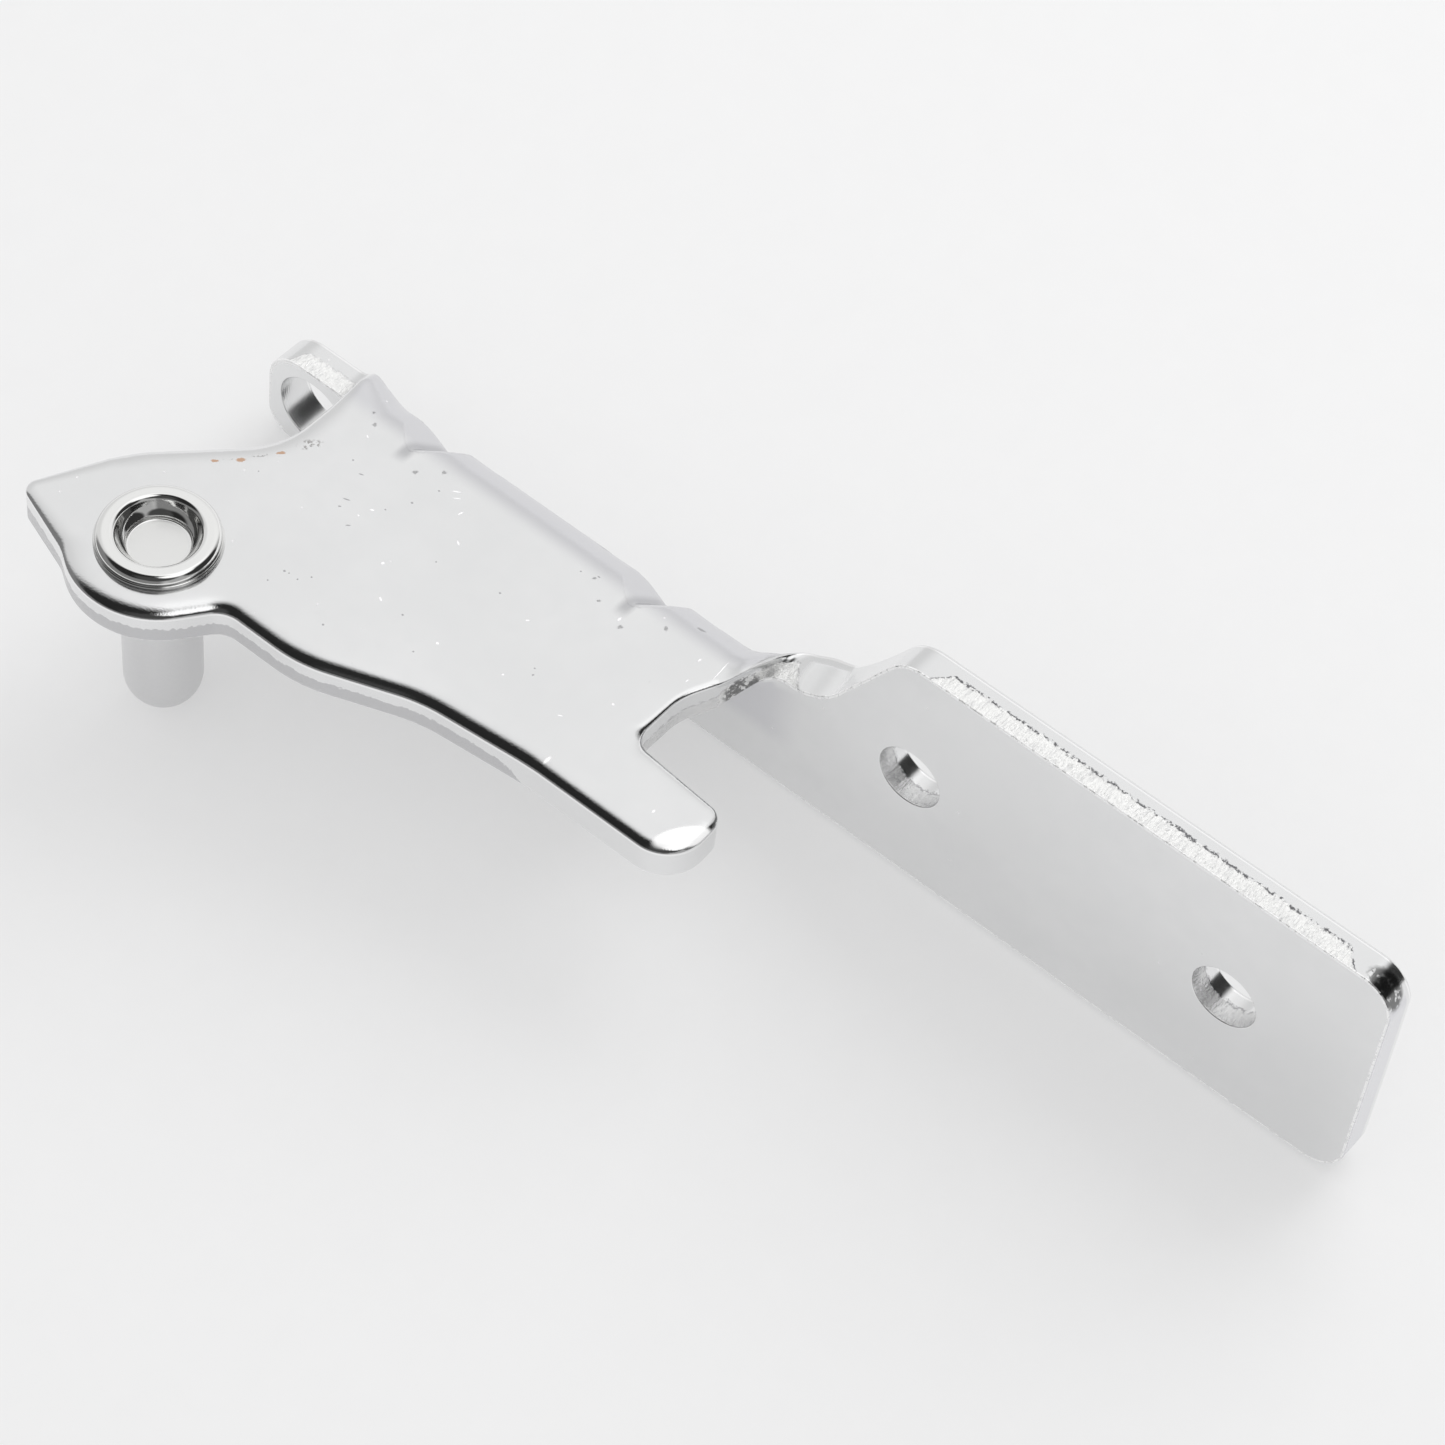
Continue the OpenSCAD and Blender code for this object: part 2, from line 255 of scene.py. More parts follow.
def cut_face(loop_no, lp):
    """For each outline point: turned bore, where the torn part starts across the wall, how light the torn part is
    painted (painted light on upward edges, painted shade on the arm's front walls), and how strongly dark dashes
    mark the start of the torn part."""
    u, q = lp[:, 0], lp[:, 1]
    turned = np.full(len(u), 1.0 if loop_no == 4 else 0.0)
    start = np.full(len(u), 0.50)
    lit_share = np.zeros(len(u))
    dash = np.zeros(len(u))
    if loop_no == 0:
        arm = (q < 12.5)
        start = np.where(arm, 0.44 + 0.9 * smooth(40.5, 44.0, u), start)
        slot = (q >= 12.5) & (q < 25) & (u > 45) & (u < 60)
        start = np.where(slot, 0.50, start)
        lit_share = np.where(slot, 0.45, lit_share)
        dash = np.where(slot, 0.25, dash)
        neck = (u > 50.5) & (u < 72) & (q >= 13.0) & (q < 31)
        start = np.where(neck, 0.34 + 0.9 * smooth(54.3, 57.8, u), start)
        start = np.where(neck & (u > 66), 0.40 + 0.9 * (1 - smooth(69.5, 71.5, u)), start)
        lit_share = np.where(neck, 1.0, lit_share)
        dash = np.where(neck, 0.35, dash)
        top = (u >= 72) & (q < 14.5)
        start = np.where(top, 0.40 + 0.9 * smooth(116.5, 118.6, u), start)
        lit_share = np.where(top, 1.0, lit_share)
        dash = np.where(top, 1.0, dash)
        end = (u > FLANGE_R - 1.5) | ((u > FLANGE_R - 4.2) & (q < 18))
        start = np.where(end, 1.3, start)
        ear = (u < 1) & (q > 30) & (q < 36)
        start = np.where(ear, 0.46 + 0.8 * (1 - smooth(-9.2, -7.6, u)), start)
        lit_share = np.where(ear, 1.0, lit_share)
        dash = np.where(ear, 0.15, dash)
    elif loop_no in (2, 3):
        start = np.full(len(u), 0.42)
        lit_share = np.full(len(u), 0.35)
        dash = np.full(len(u), 0.5)
    return np.stack([turned, start, lit_share, dash], 1)


rings_top, rings_bot = [], []
for loop_no, (lp, w, d) in enumerate(zip(loops, widths, depths)):
    n = len(lp)
    tr = cut_face(loop_no, lp)
    u, q, nu, nq = lp[:, 0], lp[:, 1], lp[:, 2], lp[:, 3]
    e = 0.02
    prev = None
    steps = 9
    for k in range(steps + 1):
        phi = k / steps * math.pi / 2
        inset = w * (1 - math.sin(phi))
        uu, qq = u - nu * inset, q - nq * inset
        P = sheet_point(uu, qq, 0)
        N = sheet_normal(uu, qq, 0)
        E = sheet_point(uu + nu * e, qq + nq * e, 0) - sheet_point(uu - nu * e, qq - nq * e, 0)
        E -= N * (E * N).sum(-1, keepdims=True)
        E /= np.maximum(np.linalg.norm(E, axis=-1, keepdims=True), 1e-9)
        drop = d * (1 - math.cos(phi))
        nn = N * (w * math.cos(phi))[:, None] + E * (d * math.sin(phi))[:, None]
        nn /= np.linalg.norm(nn, axis=-1, keepdims=True)
        P = P - N * drop[:, None]
        b = add(P, nn, 0.0, 0.0 if k < 3 else (k - 2) / 7 * 0.5, tr)
        if k == 0:
            rings_top.append((b, np.stack([uu, qq], 1)))
        if prev is not None:
            strip(prev, b, n)
        prev = b
    # wall, with its own normals
    Pin = sheet_point(u, q, 1)
    Nin = sheet_normal(u, q, 1)
    W = Pin - P
    chord = np.roll(P, -1, 0) - np.roll(P, 1, 0)
    En = np.cross(chord, -W)
    En /= np.maximum(np.linalg.norm(En, axis=-1, keepdims=True), 1e-9)
    flip = np.sign((En * E).sum(-1, keepdims=True)); flip[flip == 0] = 1
    En *= flip
    c = 0.13                                  # small rounding on the burr side
    L = np.linalg.norm(W, axis=-1, keepdims=True)
    Wd = W / L
    wb = add(P, E * 0.5 + En * 0.5, 0.0, 0.6, tr)
    strip(prev, wb, n)
    prev = wb
    for f in (0.25, 0.5, 0.75, 1.0):
        Q = P + W * f if f < 1 else Pin - Wd * c
        b = add(Q, En, f, 1.0, tr)
        strip(prev, b, n)
        prev = b
    # burr edge
    m = En + Nin
    m /= np.linalg.norm(m, axis=-1, keepdims=True)
    Ein = sheet_point(u - nu * c, q - nq * c, 1)
    full = 1.0 if loop_no == 0 else 0.9       # the painted burr glint is on the outline only
    b = add((Pin - Wd * c + Ein) / 2 + m * c * 0.2, m, full, 1.0, tr)
    strip(prev, b, n)
    b2 = add(Ein, Nin, full, 0.4)
    strip(b, b2, n)
    c3 = 2.0 * c
    b3 = add(sheet_point(u - nu * c3, q - nq * c3, 1), Nin, full, 0.4)
    strip(b2, b3, n)
    rings_bot.append((b3, np.stack([u - nu * c3, q - nq * c3], 1)))

# flat and folded faces between the rings
gu, gq = np.meshgrid(np.arange(-14, 122, 3.5), np.arange(-9, 43, 3.5))
cand = [np.stack([gu.ravel(), gq.ravel()], 1)]
cand[0] = cand[0][~((cand[0][:, 0] > -3) & (cand[0][:, 0] < 54) & (cand[0][:, 1] > 20.5) & (cand[0][:, 1] < 40))]
gu, gq = np.meshgrid(np.arange(-2.5, 54, 1.1), np.arange(21, 39.5, 0.5))
g = np.stack([gu.ravel(), gq.ravel()], 1)
fine = np.zeros(len(g), bool)
for xd in DIMPLES:
    fine |= np.abs(g[:, 0] - xd) < 6.2
cand.append(g[~fine])
for xd in DIMPLES:
    gu, gq = np.meshgrid(np.arange(xd - 6.0, xd + 6.01, 0.3), np.arange(21, 39.6, 0.36))
    cand.append(np.stack([gu.ravel(), gq.ravel()], 1))
cand = np.concatenate(cand)
rng = np.random.default_rng(7)
cand = cand + rng.uniform(-0.01, 0.01, cand.shape)

for side, rings in ((0, rings_top), (1, rings_bot)):
    ring_pts = [r[1] for r in rings]
    keep = inside_loop(cand, ring_pts[0])
    for h in ring_pts[1:]:
        keep &= ~inside_loop(cand, h)
    keep &= ~near(cand, np.concatenate(ring_pts), 0.22)
    inner = cand[keep]
    allp = np.concatenate(ring_pts + [inner])
    edges, start, owner = [], 0, []
    for (b, rp) in rings:
        m = len(rp)
        edges += [(start + i, start + (i + 1) % m) for i in range(m)]
        owner += [b + i for i in range(m)]
        start += m
    b = add(sheet_point(inner[:, 0], inner[:, 1], side), sheet_normal(inner[:, 0], inner[:, 1], side), 0.0, 0.0)
    owner += [b + i for i in range(len(inner))]
    res = delaunay_2d_cdt([Vector(p) for p in allp], edges, [], 0, 1e-5)
    ov, of_, orig = res[0], res[2], res[3]
    back = [o[0] if len(o) else -1 for o in orig]
    cen = np.array([[sum(ov[i][0] for i in f) / len(f), sum(ov[i][1] for i in f) / len(f)] for f in of_])
    ok = inside_loop(cen, ring_pts[0])
    for h in ring_pts[1:]:
        ok &= ~inside_loop(cen, h)
    for f, good in zip(of_, ok):
        if not good:
            continue
        ids = [back[i] for i in f]
        if min(ids) < 0:
            continue
        a = [allp[i] for i in ids]
        area = (a[1][0] - a[0][0]) * (a[2][1] - a[0][1]) - (a[2][0] - a[0][0]) * (a[1][1] - a[0][1])
        ids = [owner[i] for i in ids]
        if (area < 0) != (side == 1):
            ids.reverse()
        faces.append(tuple(ids))

V = np.concatenate(verts)
N = np.concatenate(norms)
A = np.concatenate(attr)


def build(name, V, N, faces, A, weld=True):
    """A closed mesh with its own shading normals."""
    key = {}
    remap = np.zeros(len(V), int)
    keepv = []
    for i, p in enumerate(np.round(V, 4)):
        t = tuple(p)
        if t not in key:
            key[t] = len(keepv)
            keepv.append(i)
        remap[i] = key[t]
    clean, source = [], []
    for f in faces:
        r = [remap[i] for i in f]
        rr, ss = [], []
        for a, s in zip(r, f):
            if a not in rr:
                rr.append(a); ss.append(s)
        if len(rr) >= 3:
            clean.append(rr); source.append(ss)
    me = bpy.data.meshes.new(name)
    me.from_pydata([tuple(V[i] * MM) for i in keepv], [], clean)
    me.update()
    loop_n = [tuple(N[s]) for f in source for s in f]
    for p in me.polygons:
        p.use_smooth = True
    for nm, col in (("wall_depth", 0), ("wall", 1), ("turned", 2), ("torn_from", 3), ("torn_lit_share", 4),
                    ("torn_dash", 5)):
        at = me.attributes.new(nm, "FLOAT", "CORNER")
        at.data.foreach_set("value", [float(A[s, col]) for f in source for s in f])
    me.normals_split_custom_set(loop_n)
    ob = bpy.data.objects.new(name, me)
    bpy.context.scene.collection.objects.link(ob)
    return ob


bracket = build("hinge_bracket", V, N, faces, A)
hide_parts("bracket")
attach(bracket, "root")


# ------------------------------------------------------------------ the pin, turned from one profile
def arc(cx, cz, r, a0, a1, n):
    return [(cx + r * math.cos(math.radians(a0 + (a1 - a0) * i / n)),
             cz + r * math.sin(math.radians(a0 + (a1 - a0) * i / n))) for i in range(n + 1)]


def lathe(name, profile, n=128):
    """profile: list of (radius, z, normal r, normal z, shade) from the tip up, outside first."""
    vs, ns, fs, at = [], [], [], []
    for (r, z, nr, nz, sh) in profile:
        for i in range(n):
            a = 2 * math.pi * i / n
            vs.append((r * math.cos(a), r * math.sin(a), z))
            ns.append((nr * math.cos(a), nr * math.sin(a), nz))
            at.append((sh, 0.0, 0.0, 0.0, 0.0, 0.0))
    for k in range(len(profile) - 1):
        for i in range(n):
            j = (i + 1) % n
            fs.append((k * n + i, k * n + j, (k + 1) * n + j, (k + 1) * n + i))
    return build(name, np.array(vs), np.array(ns), fs, np.array(at))


def with_normals(path, shade):
    out = []
    m = len(path)
    for i, (r, z) in enumerate(path):
        a = path[max(i - 1, 0)]
        b = path[min(i + 1, m - 1)]
        tr, tz = b[0] - a[0], b[1] - a[1]
        l = math.hypot(tr, tz) or 1
        out.append((r, z, tz / l, -tr / l, shade))
    return out


PIN_R, PIN_L = 4.0, 19.8
HEAD_R, HEAD_H = 6.3, 1.45
top = T + HEAD_H
tip = [(max(r, 0.0), z) for r, z in arc(0, -(PIN_L - PIN_R), PIN_R, -90, 0, 24)]
shank = with_normals(tip + [(PIN_R, -8.0), (PIN_R, -0.02)], 0.0)
shank += [(PIN_R, 0.0, 0, 1, 0), (3.75, 0.0, 0, 1, 0), (3.75, 0.0, 1, 0, 0), (3.75, T, 1, 0, 0),
          (3.75, T, 0, -1, 0), (HEAD_R - 0.3, T, 0, -1, 0)]
ring = [(HEAD_R - 0.30, T), (HEAD_R - 0.12, T + 0.04)]
ring += arc(HEAD_R - 0.22, T + 0.26, 0.22, -55, 50, 10)          # bead under the crown
ring += [(HEAD_R - 0.17, T + 0.47), (HEAD_R - 0.19, T + 0.51)]
ring += arc(HEAD_R - 0.98, top - 0.84, 0.84, -14, 90, 28)        # rolled crown
ring += [(5.1, top)]
ring += arc(4.72, top - 0.62, 0.62, 82, 158, 20)                 # lip of the hollow
ring += [(3.95, top - 0.78), (3.75, top - 1.12), (3.52, top - 1.38), (3.34, top - 1.52)]
ring += [(3.24, top - 1.60), (3.20, top - 1.72), (3.19, top - 1.88)]
ring += [(3.16, T - 0.54), (3.08, T - 0.59), (2.98, T - 0.6)]
ring_p = with_normals(ring, 1.0)
floor_p = [(2.96, T - 0.6, 0, 1, 2.0), (1.5, T - 0.6, 0, 1, 2.0), (0.0, T - 0.6, 0, 1, 2.0)]
pin = lathe("riveted_pin", shank + ring_p + floor_p)
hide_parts("hinge_pin")
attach(pin, "root")


# ------------------------------------------------------------------ materials
class Mat:
    def __init__(self, name):
        self.m = bpy.data.materials.new(name)
        self.m.use_nodes = True
        self.t = self.m.node_tree
        self.t.nodes.clear()
        self.out = self.t.nodes.new("ShaderNodeOutputMaterial")
        self.b = self.t.nodes.new("ShaderNodeBsdfPrincipled")
        self.t.links.new(self.b.outputs[0], self.out.inputs[0])

    def n(self, kind, **props):
        nd = self.t.nodes.new(kind)
        for k, v in props.items():
            setattr(nd, k, v)
        return nd

    def link(self, a, b):
        self.t.links.new(a, b)

    def put(self, sock, v):
        if hasattr(v, "is_linked") or hasattr(v, "links"):
            self.link(v, sock)
        else:
            sock.default_value = v

    def math(self, op, a, b=0.0, c=0.0):
        nd = self.n("ShaderNodeMath", operation=op)
        self.put(nd.inputs[0], a); self.put(nd.inputs[1], b)
        if len(nd.inputs) > 2:
            self.put(nd.inputs[2], c)
        return nd.outputs[0]

    def mix(self, f, a, b):
        nd = self.n("ShaderNodeMix", data_type="FLOAT")
        self.put(nd.inputs["Factor"], f)
        self.put(nd.inputs[2], a); self.put(nd.inputs[3], b)
        return nd.outputs[0]

    def mixc(self, f, a, b):
        nd = self.n("ShaderNodeMix", data_type="RGBA")
        self.put(nd.inputs["Factor"], f)
        self.put(nd.inputs[6], a); self.put(nd.inputs[7], b)
        return nd.outputs[2]

    def noise(self, vec, scale, detail=3.0, rough=0.5, dist=0.0):
        nd = self.n("ShaderNodeTexNoise")
        self.link(vec, nd.inputs["Vector"])
        nd.inputs["Scale"].default_value = scale
        nd.inputs["Detail"].default_value = detail
        nd.inputs["Roughness"].default_value = rough
        nd.inputs["Distortion"].default_value = dist
        return nd.outputs["Fac"]

    def ramp(self, x, lo, hi, a=0.0, b=1.0, smooth=True):
        nd = self.n("ShaderNodeMapRange", interpolation_type="SMOOTHSTEP" if smooth else "LINEAR")
        self.put(nd.inputs[0], x)
        nd.inputs[1].default_value = lo; nd.inputs[2].default_value = hi
        nd.inputs[3].default_value = a; nd.inputs[4].default_value = b
        return nd.outputs[0]

    def scaled(self, vec, s):
        nd = self.n("ShaderNodeMapping")
        self.link(vec, nd.inputs[0])
        nd.inputs["Scale"].default_value = s
        return nd.outputs[0]

    def bump(self, h, dist, strength=1.0, normal=None):
        nd = self.n("ShaderNodeBump")
        self.link(h, nd.inputs["Height"])
        nd.inputs["Distance"].default_value = dist
        nd.inputs["Strength"].default_value = strength
        if normal is not None:
            self.link(normal, nd.inputs["Normal"])
        return nd.outputs[0]


def coords(mt):
    """Object space in millimetres."""
    tc = mt.n("ShaderNodeTexCoord")
    return mt.scaled(tc.outputs["Object"], (1000, 1000, 1000))


# marks on the arm's top as the photograph shows them: x, y, half length, half width, heading (mm, degrees)
PITS = [
    (6.7, 20.1, .14, .12, 0), (8.5, 19.3, .34, .10, 20), (9.6, 16.0, .50, .11, 20), (9.7, 14.9, .22, .12, 30),
    (11.9, 13.7, .34, .10, 40), (15.4, 22.9, .15, .13, 0), (14.5, 20.0, .18, .15, 0), (11.3, 5.4, .18, .16, 0),
    (11.8, 5.5, .10, .10, 0), (12.9, 5.5, .12, .12, 0), (13.7, 6.6, .13, .12, 0), (21.1, 16.1, .12, .10, 0),
    (23.1, 9.1, .16, .14, 0), (18.4, 3.1, .16, .15, 0), (28.1, 17.4, .16, .14, 0), (1.0, 12.8, .10, .10, 0),
    (26.8, 6.5, .13, .12, 0), (36.9, 12.1, .17, .12, 60), (36.5, 12.8, .12, .10, 0), (32.0, 24.7, .14, .10, 0),
    (33.7, 25.4, .22, .10, 0), (10.9, 3.5, .12, .11, 0), (13.2, 17.6, .12, .11, 0),
]
TICKS = [
    (16.7, 24.0, .62, .07, 32), (17.3, 23.4, .50, .07, 32), (18.8, 22.2, .40, .10, 75), (17.5, 12.5, .24, .16, 60),
    (20.3, 9.1, .13, .34, 60), (27.8, 8.8, .20, .16, 0), (34.8, 10.2, .14, .12, 0), (32.2, 16.7, .24, .10, 30),
    (44.4, 5.5, .62, .24, 88), (38.5, 22.8, .34, .14, 90), (47.3, 24.2, .28, .12, 90), (49.6, 24.6, 1.7, .06, 95),
    (48.0, 21.5, .26, .07, 90), (44.7, 14.6, .20, .14, 0), (55.5, 7.7, .28, .14, 90), (11.8, 15.3, .14, .12, 0),
    (12.3, 16.7, .30, .12, 20), (5.7, 23.3, .10, .24, 60), (21.1, 19.3, .10, .40, 60), (41.9, 10.2, .34, .08, 30),
]
COPPER = [(-3.0, 10.9, .48, .22, 38), (-1.25, 12.7, .55, .34, 45), (1.0, 16.0, .55, .24, 45)]
TIP_HIGHLIGHT = [(59.35, 7.35, 3.3, 1.2, 56)]        # painted highlight: a white crescent on the finger's tip
SMUTS = [(-0.3, 14.4, 1.0, .26, 48), (2.3, 18.7, 1.6, .8, 52), (-2.2, 11.9, .7, .16, 45)]


def marks(mt, vec, rows, soft=0.45):
    """One mask for a list of small ellipses in the arm's plane."""
    total = None
    for x, y, a, b, deg in rows:
        mp = mt.n("ShaderNodeMapping", vector_type="TEXTURE")
        mt.link(vec, mp.inputs[0])
        mp.inputs["Location"].default_value = (x, y, T)
        mp.inputs["Rotation"].default_value = (0, 0, math.radians(deg))
        mp.inputs["Scale"].default_value = (a, b, 3.0)
        ln = mt.n("ShaderNodeVectorMath", operation="LENGTH")
        mt.link(mp.outputs[0], ln.inputs[0])
        one = mt.ramp(ln.outputs["Value"], soft, 1.0, 1.0, 0.0)
        total = one if total is None else mt.math("MAXIMUM", total, one)
    return total


def blob(mt, vec, centre, radii):
    """Soft mask of one ellipsoid, in millimetres."""
    mp = mt.n("ShaderNodeMapping", vector_type="TEXTURE")
    mt.link(vec, mp.inputs[0])
    mp.inputs["Location"].default_value = centre
    mp.inputs["Scale"].default_value = radii
    ln = mt.n("ShaderNodeVectorMath", operation="LENGTH")
    mt.link(mp.outputs[0], ln.inputs[0])
    return mt.ramp(ln.outputs["Value"], 0.7, 1.0, 1.0, 0.0)


def sheet_material():
    mt = Mat("plated_sheet_steel")
    vec = coords(mt)
    wall = mt.n("ShaderNodeAttribute", attribute_name="wall").outputs["Fac"]
    depth = mt.n("ShaderNodeAttribute", attribute_name="wall_depth").outputs["Fac"]
    turned = mt.n("ShaderNodeAttribute", attribute_name="turned").outputs["Fac"]
    b = mt.b
    cloud = mt.noise(vec, 0.06, 4, 0.55)
    mottle = mt.noise(vec, 0.35, 5, 0.6)
    grain = mt.noise(vec, 2.6, 4, 0.6)
    tone = mt.mixc(mt.ramp(cloud, 0.3, 0.7), (0.825, 0.828, 0.83, 1), (0.855, 0.857, 0.86, 1))
    tone = mt.mixc(mt.ramp(mottle, 0.35, 0.7, 0.0, 0.35), tone, (0.805, 0.81, 0.815, 1))

    # a warped copy of the coordinates gives the marks ragged rims
    shake = mt.n("ShaderNodeTexNoise")
    mt.link(vec, shake.inputs["Vector"])
    shake.inputs["Scale"].default_value = 3.5
    shake.inputs["Detail"].default_value = 2.0
    warp = mt.n("ShaderNodeVectorMath", operation="MULTIPLY_ADD")
    mt.link(shake.outputs["Color"], warp.inputs[0])
    warp.inputs[1].default_value = (0.30, 0.30, 0.0)
    mt.link(vec, warp.inputs[2])
    shift = mt.n("ShaderNodeVectorMath", operation="SUBTRACT")
    mt.link(warp.outputs[0], shift.inputs[0])
    shift.inputs[1].default_value = (0.15, 0.15, 0.0)
    ragged_vec = shift.outputs[0]

    top = mt.ramp(wall, 0.3, 0.6, 1.0, 0.0)
    pits = marks(mt, vec, PITS)
    ticks = marks(mt, vec, TICKS)
    copper = marks(mt, ragged_vec, COPPER, 0.6)
    speck = mt.noise(vec, 1.5, 4, 0.7)
    smuts = mt.math("MULTIPLY", marks(mt, ragged_vec, SMUTS), mt.ramp(speck, 0.50, 0.58))
    # tiny random ticks and pits everywhere
    cells = mt.n("ShaderNodeTexVoronoi", feature="F1")
    mt.link(vec, cells.inputs["Vector"])
    cells.inputs["Scale"].default_value = 0.55
    pick = mt.n("ShaderNodeSeparateColor")
    mt.link(cells.outputs["Color"], pick.inputs[0])
    dot = mt.ramp(cells.outputs["Distance"], 0.035, 0.075, 1.0, 0.0)
    few_w = mt.math("MULTIPLY", dot, mt.ramp(pick.outputs[0], 0.80, 0.82))
    few_d = mt.math("MULTIPLY", dot, mt.ramp(pick.outputs[0], 0.07, 0.05))
    pits = mt.math("MAXIMUM", pits, mt.math("MULTIPLY", few_d, 0.2))
    ticks = mt.math("MAXIMUM", ticks, mt.math("MULTIPLY", few_w, 0.5))

    # sheared edge: burnished next to the rolled side, torn towards the burr
    start = mt.n("ShaderNodeAttribute", attribute_name="torn_from").outputs["Fac"]
    lit_share = mt.n("ShaderNodeAttribute", attribute_name="torn_lit_share").outputs["Fac"]
    coarse = mt.math("MULTIPLY", mt.math("SUBTRACT", mt.noise(vec, 0.45, 3, 0.6), 0.5), 0.16)
    wander = mt.math("MULTIPLY", mt.math("SUBTRACT", mt.noise(vec, 1.7, 4, 0.7), 0.5), 0.34)
    place = mt.math("SUBTRACT", mt.math("ADD", mt.math("ADD", depth, wander), coarse), start)
    on_wall = mt.math("MULTIPLY", mt.ramp(wall, 0.85, 0.95), mt.math("SUBTRACT", 1.0, turned))
    torn = mt.math("MULTIPLY", mt.ramp(place, -0.02, 0.02), on_wall)
    dash = mt.n("ShaderNodeAttribute", attribute_name="torn_dash").outputs["Fac"]
    line = mt.math("MULTIPLY", mt.ramp(mt.math("ABSOLUTE", place), 0.02, 0.075, 1.0, 0.0),
                   mt.ramp(mt.noise(vec, 1.9, 3, 0.7), 0.46, 0.53))
    line = mt.math("MULTIPLY", mt.math("MULTIPLY", line, dash), on_wall)
    # painted light and shade on the torn part: white where the edge faces up, grey on the arm's front walls
    torn_lit = mt.math("MULTIPLY", torn, lit_share)
    torn_shaded = mt.math("MULTIPLY", torn, mt.math("SUBTRACT", 1.0, lit_share))

    # the bend: the stretched plating is duller; its greyer tone is painted shade, darkest in the two creases
    place3 = mt.n("ShaderNodeSeparateXYZ")
    mt.link(vec, place3.inputs[0])
    px, py, pz = place3.outputs
    bend_dull_and_shade = mt.math("MULTIPLY", mt.ramp(py, FOLD_Y - 0.4, FOLD_Y + 2.0), mt.ramp(pz, -6.0, -3.0))
    bend_dull_and_shade = mt.math("MULTIPLY", bend_dull_and_shade, mt.math("MULTIPLY", mt.ramp(px, -3.0, 0.5), mt.ramp(px, 58.0, 53.0)))
    bend_dull_and_shade = mt.math("MULTIPLY", bend_dull_and_shade, mt.ramp(wall, 0.0, 0.3, 1.0, 0.0))
    tone = mt.mixc(bend_dull_and_shade, tone, (0.735, 0.735, 0.755, 1))
    # painted shade in the two dimple creases
    crease_shade = None
    for xd in DIMPLES:
        one = mt.ramp(mt.math("ABSOLUTE", mt.math("SUBTRACT", px, xd)), 0.15, 1.1, 1.0, 0.0)
        crease_shade = one if crease_shade is None else mt.math("MAXIMUM", crease_shade, one)
    crease_shade = mt.math("MULTIPLY", crease_shade, mt.math("MULTIPLY", mt.ramp(py, 22.6, 24.4), mt.ramp(pz, -3.5, 0.0)))
    tone = mt.mixc(mt.math("MULTIPLY", crease_shade, 0.55), tone, (0.34, 0.34, 0.36, 1))
    # the torn part: grey as painted shade, white with streaks as painted light
    tone = mt.mixc(torn_shaded, tone, (0.60, 0.60, 0.61, 1))
    streak = mt.ramp(mt.noise(mt.scaled(vec, (1.0, 0.22, 1.0)), 3.2, 3, 0.75), 0.48, 0.64)
    tone = mt.mixc(torn_lit, tone, mt.mixc(streak, (0.97, 0.97, 0.96, 1), (0.80, 0.80, 0.80, 1)))
    # painted highlight: a bright line where the rolled edge meets the cut
    lip_highlight = mt.math("MULTIPLY", mt.ramp(wall, 0.52, 0.58), mt.ramp(wall, 0.72, 0.63, 0.0, 1.0))
    tone = mt.mixc(lip_highlight, tone, (0.97, 0.97, 0.97, 1))
    # the burr: a painted glint, a fine bright line along the torn side of the cut
    burr_glint = mt.math("MULTIPLY", mt.ramp(depth, 0.985, 0.998), mt.ramp(mt.noise(vec, 1.1, 3, 0.7), 0.36, 0.50))
    tone = mt.mixc(burr_glint, tone, (0.97, 0.97, 0.97, 1))
    # painted shade: the flange's end face is painted darker
    end_face_shade = mt.math("MULTIPLY", mt.ramp(px, FLANGE_R - 0.5, FLANGE_R - 0.1), on_wall)
    tone = mt.mixc(end_face_shade, tone, (0.735, 0.735, 0.76, 1))
    tone = mt.mixc(mt.math("MULTIPLY", line, 0.92), tone, (0.10, 0.10, 0.11, 1))
    # painted shade in the slot's root corner, with a dark tear at the flange's top corner
    root_shade_and_tear = mt.math("MULTIPLY", blob(mt, ragged_vec, (51.8, 25.6, 1.6), (2.0, 2.6, 2.4)),
                    mt.math("MULTIPLY", on_wall, mt.ramp(speck, 0.40, 0.50)))
    corner_tear = mt.math("MULTIPLY", blob(mt, ragged_vec, (120.9, YF + 1.1, TOP_Z - 0.9), (2.7, 1.7, 2.6)),
                          mt.math("MULTIPLY", on_wall, mt.ramp(speck, 0.36, 0.46)))
    root_shade_and_tear = mt.math("MAXIMUM", root_shade_and_tear, corner_tear)
    tone = mt.mixc(mt.math("MULTIPLY", root_shade_and_tear, 0.85), tone, (0.10, 0.10, 0.10, 1))
    tone = mt.mixc(mt.math("MULTIPLY", pits, 0.62), tone, (0.26, 0.26, 0.27, 1))
    tone = mt.mixc(mt.math("MULTIPLY", smuts, 0.70), tone, (0.24, 0.23, 0.22, 1))
    tone = mt.mixc(mt.math("MULTIPLY", copper, 0.85), tone, (0.46, 0.25, 0.13, 1))
    tone = mt.mixc(ticks, tone, (0.97, 0.97, 0.97, 1))
